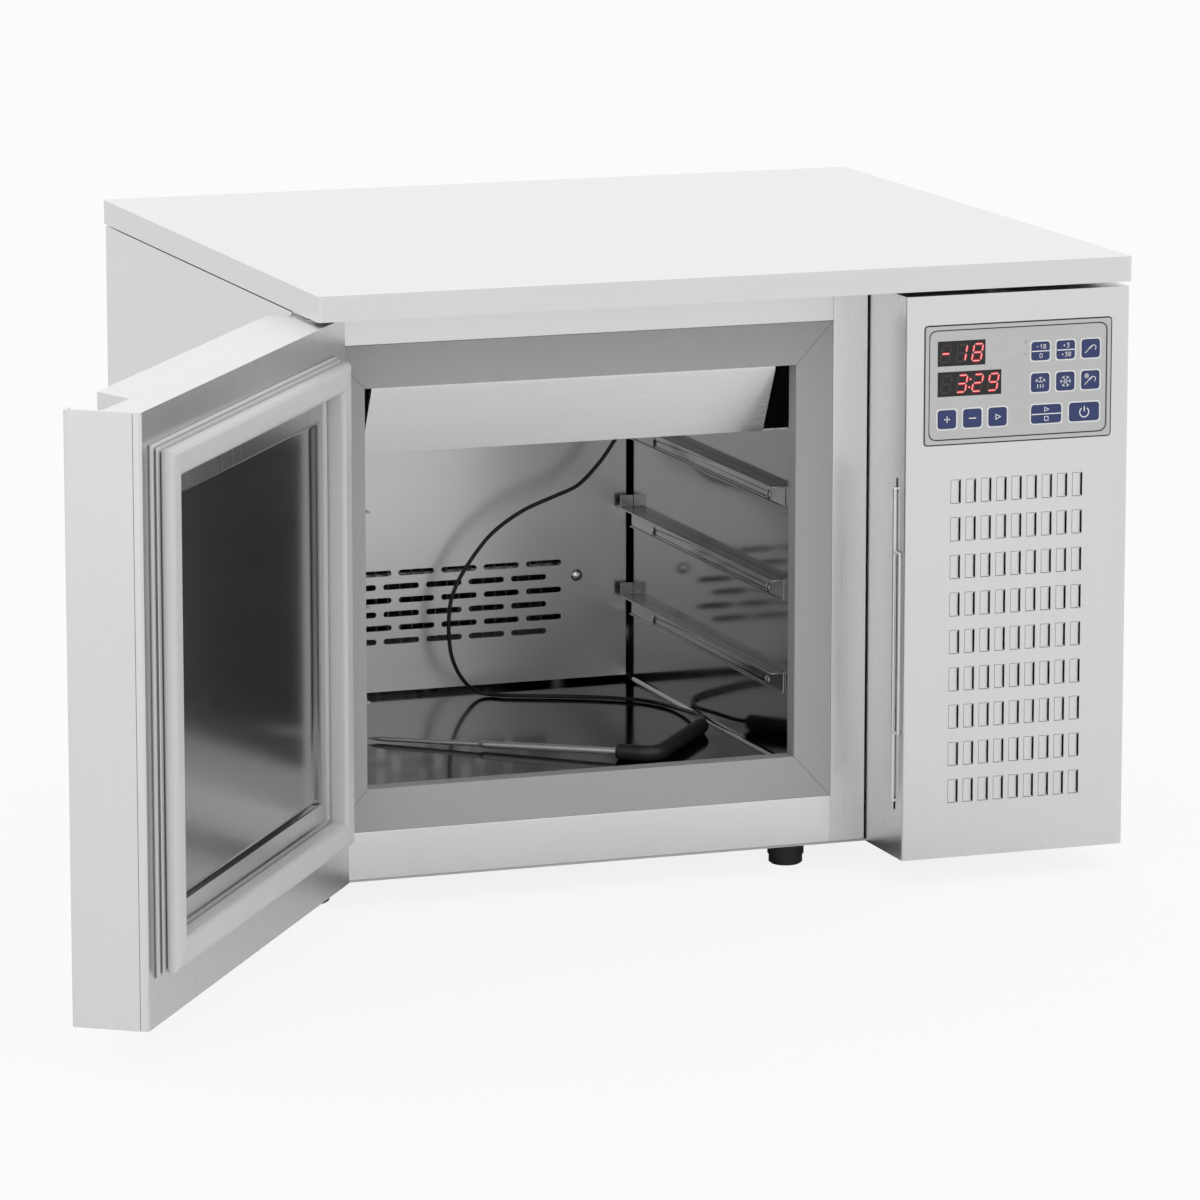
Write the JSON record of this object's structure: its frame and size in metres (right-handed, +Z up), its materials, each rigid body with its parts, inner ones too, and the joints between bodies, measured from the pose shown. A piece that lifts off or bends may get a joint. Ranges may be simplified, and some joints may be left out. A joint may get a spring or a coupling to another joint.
{
  "type": "blast chiller",
  "caption": "Countertop blast chiller: insulated chamber with tray runners and core probe, side-hinged door standing open, control housing beside it, steel worktop.",
  "frame": {"origin": "middle of the worktop's plan, on the flat underside of the cabinet's base pan; the feet reach 20 mm lower", "axes": "+X to the right as the user faces the door opening, +Y to the back, +Z up; the door is stored standing open"},
  "size_m": [0.9097, 0.9275, 0.472],
  "materials": {
    "stainless_sheet": "satin brushed stainless sheet",
    "bright_steel": "bright rolled stainless, close to a mirror",
    "dark_mirror_steel": "polished stainless that reflects the room",
    "galvanised_sheet": "plain galvanised sheet",
    "grey_plastic": "fine textured moulding",
    "foam_core": "cellular, cream",
    "gasket_rubber": "soft light grey, slightly glossy",
    "black_rubber": "matt black",
    "magnet_strip": "dark bonded magnet",
    "fin_aluminium": "bare fins",
    "copper": "drawn copper",
    "fan_plastic": "dark moulding",
    "motor_grey": "grey paint",
    "compressor_black": "black enamel",
    "panel_silver": "silver grey film",
    "window_dark": "smoked window",
    "key_navy": "navy membrane",
    "board_green": "solder mask",
    "screw_steel": "bright zinc",
    "foot_grey": "grey moulding",
    "bush_plastic": "acetal",
    "probe_black": "black moulding",
    "cord_grey": "dark grey sheath",
    "needle_steel": "polished",
    "drain_plastic": "pale moulding"
  },
  "bodies": {
    "cabinet": {"worktop": "stainless_sheet", "left_side_panel": "stainless_sheet", "right_side_panel": "stainless_sheet", "rear_panel": "stainless_sheet", "base_pan": "galvanised_sheet", "top_closure": "galvanised_sheet", "partition": "galvanised_sheet", "insulation_foam": "foam_core", "upper_rail": "stainless_sheet", "lower_rail": "stainless_sheet", "hinge_stile": "stainless_sheet", "mullion": "stainless_sheet", "breaker_frame": "grey_plastic", "inner_liner": "bright_steel", "evaporator_cover": "bright_steel", "air_duct_panel": "bright_steel", "tray_runners": "bright_steel", "panel_screws": "screw_steel", "evaporator_coil": "fin_aluminium", "evaporator_fan_motor": "motor_grey", "evaporator_fan_guard": "screw_steel", "drain_spout": "drain_plastic", "compressor": "compressor_black", "compressor_mounts": "black_rubber", "condenser_coil": "fin_aluminium", "condenser_shroud": "galvanised_sheet", "condenser_fan_motor": "motor_grey", "refrigerant_pipes": "copper", "housing_shell": "stainless_sheet", "control_bezel": "panel_silver", "display_windows": "window_dark", "control_board": "board_green", "wire_bracket": "screw_steel", "feet": "foot_grey", "hinge_brackets": "stainless_sheet", "probe_needle": "needle_steel", "probe_handle": "probe_black", "probe_cord": "cord_grey", "cord_gland": "probe_black", "mains_gland": "black_rubber"},
    "door": {"door_skin": "stainless_sheet", "door_foam": "foam_core", "door_inner_panel": "dark_mirror_steel", "door_gasket": "gasket_rubber", "gasket_magnets": "magnet_strip", "hinge_bushes": "bush_plastic"},
    "evaporator_fan": {"evaporator_fan_rotor": "fan_plastic"},
    "condenser_fan": {"condenser_fan_rotor": "fan_plastic"},
    "key_plus_cap": {"key_plus": "key_navy"},
    "key_minus_cap": {"key_minus": "key_navy"},
    "key_set_cap": {"key_set": "key_navy"},
    "key_chill_time_cap": {"key_chill_time": "key_navy"},
    "key_freeze_time_cap": {"key_freeze_time": "key_navy"},
    "key_chill_probe_cap": {"key_chill_probe": "key_navy"},
    "key_defrost_cap": {"key_defrost": "key_navy"},
    "key_freeze_cap": {"key_freeze": "key_navy"},
    "key_freeze_probe_cap": {"key_freeze_probe": "key_navy"},
    "key_start_stop_cap": {"key_start_stop": "key_navy"},
    "key_power_cap": {"key_power": "key_navy"}
  },
  "joints": [
    {"name": "door_hinge", "type": "hinge", "parent": "cabinet", "child": "door", "pos_m": [-0.309, -0.2515, 0.22], "axis": [0, 0, 1], "range_deg": [-10, 125]},
    {"name": "evaporator_fan_spin", "type": "hinge", "parent": "cabinet", "child": "evaporator_fan", "pos_m": [-0.092, -0.0115, 0.33], "axis": [0, 0, 1], "continuous": true},
    {"name": "condenser_fan_spin", "type": "hinge", "parent": "cabinet", "child": "condenser_fan", "pos_m": [0.2275, -0.2, 0.16], "axis": [0, 1, 0], "continuous": true},
    {"name": "key_plus_press", "type": "slide", "parent": "cabinet", "child": "key_plus_cap", "axis": [0, 1, 0], "range_m": [0, 0.0004], "stiffness_N_per_m": 400, "springref_m": -0.0005},
    {"name": "key_minus_press", "type": "slide", "parent": "cabinet", "child": "key_minus_cap", "axis": [0, 1, 0], "range_m": [0, 0.0004], "stiffness_N_per_m": 400, "springref_m": -0.0005},
    {"name": "key_set_press", "type": "slide", "parent": "cabinet", "child": "key_set_cap", "axis": [0, 1, 0], "range_m": [0, 0.0004], "stiffness_N_per_m": 400, "springref_m": -0.0005},
    {"name": "key_chill_time_press", "type": "slide", "parent": "cabinet", "child": "key_chill_time_cap", "axis": [0, 1, 0], "range_m": [0, 0.0004], "stiffness_N_per_m": 400, "springref_m": -0.0005},
    {"name": "key_freeze_time_press", "type": "slide", "parent": "cabinet", "child": "key_freeze_time_cap", "axis": [0, 1, 0], "range_m": [0, 0.0004], "stiffness_N_per_m": 400, "springref_m": -0.0005},
    {"name": "key_chill_probe_press", "type": "slide", "parent": "cabinet", "child": "key_chill_probe_cap", "axis": [0, 1, 0], "range_m": [0, 0.0004], "stiffness_N_per_m": 400, "springref_m": -0.0005},
    {"name": "key_defrost_press", "type": "slide", "parent": "cabinet", "child": "key_defrost_cap", "axis": [0, 1, 0], "range_m": [0, 0.0004], "stiffness_N_per_m": 400, "springref_m": -0.0005},
    {"name": "key_freeze_press", "type": "slide", "parent": "cabinet", "child": "key_freeze_cap", "axis": [0, 1, 0], "range_m": [0, 0.0004], "stiffness_N_per_m": 400, "springref_m": -0.0005},
    {"name": "key_freeze_probe_press", "type": "slide", "parent": "cabinet", "child": "key_freeze_probe_cap", "axis": [0, 1, 0], "range_m": [0, 0.0004], "stiffness_N_per_m": 400, "springref_m": -0.0005},
    {"name": "key_start_stop_press", "type": "slide", "parent": "cabinet", "child": "key_start_stop_cap", "axis": [0, 1, 0], "range_m": [0, 0.0004], "stiffness_N_per_m": 400, "springref_m": -0.0005},
    {"name": "key_power_press", "type": "slide", "parent": "cabinet", "child": "key_power_cap", "axis": [0, 1, 0], "range_m": [0, 0.0004], "stiffness_N_per_m": 400, "springref_m": -0.0005}
  ]
}
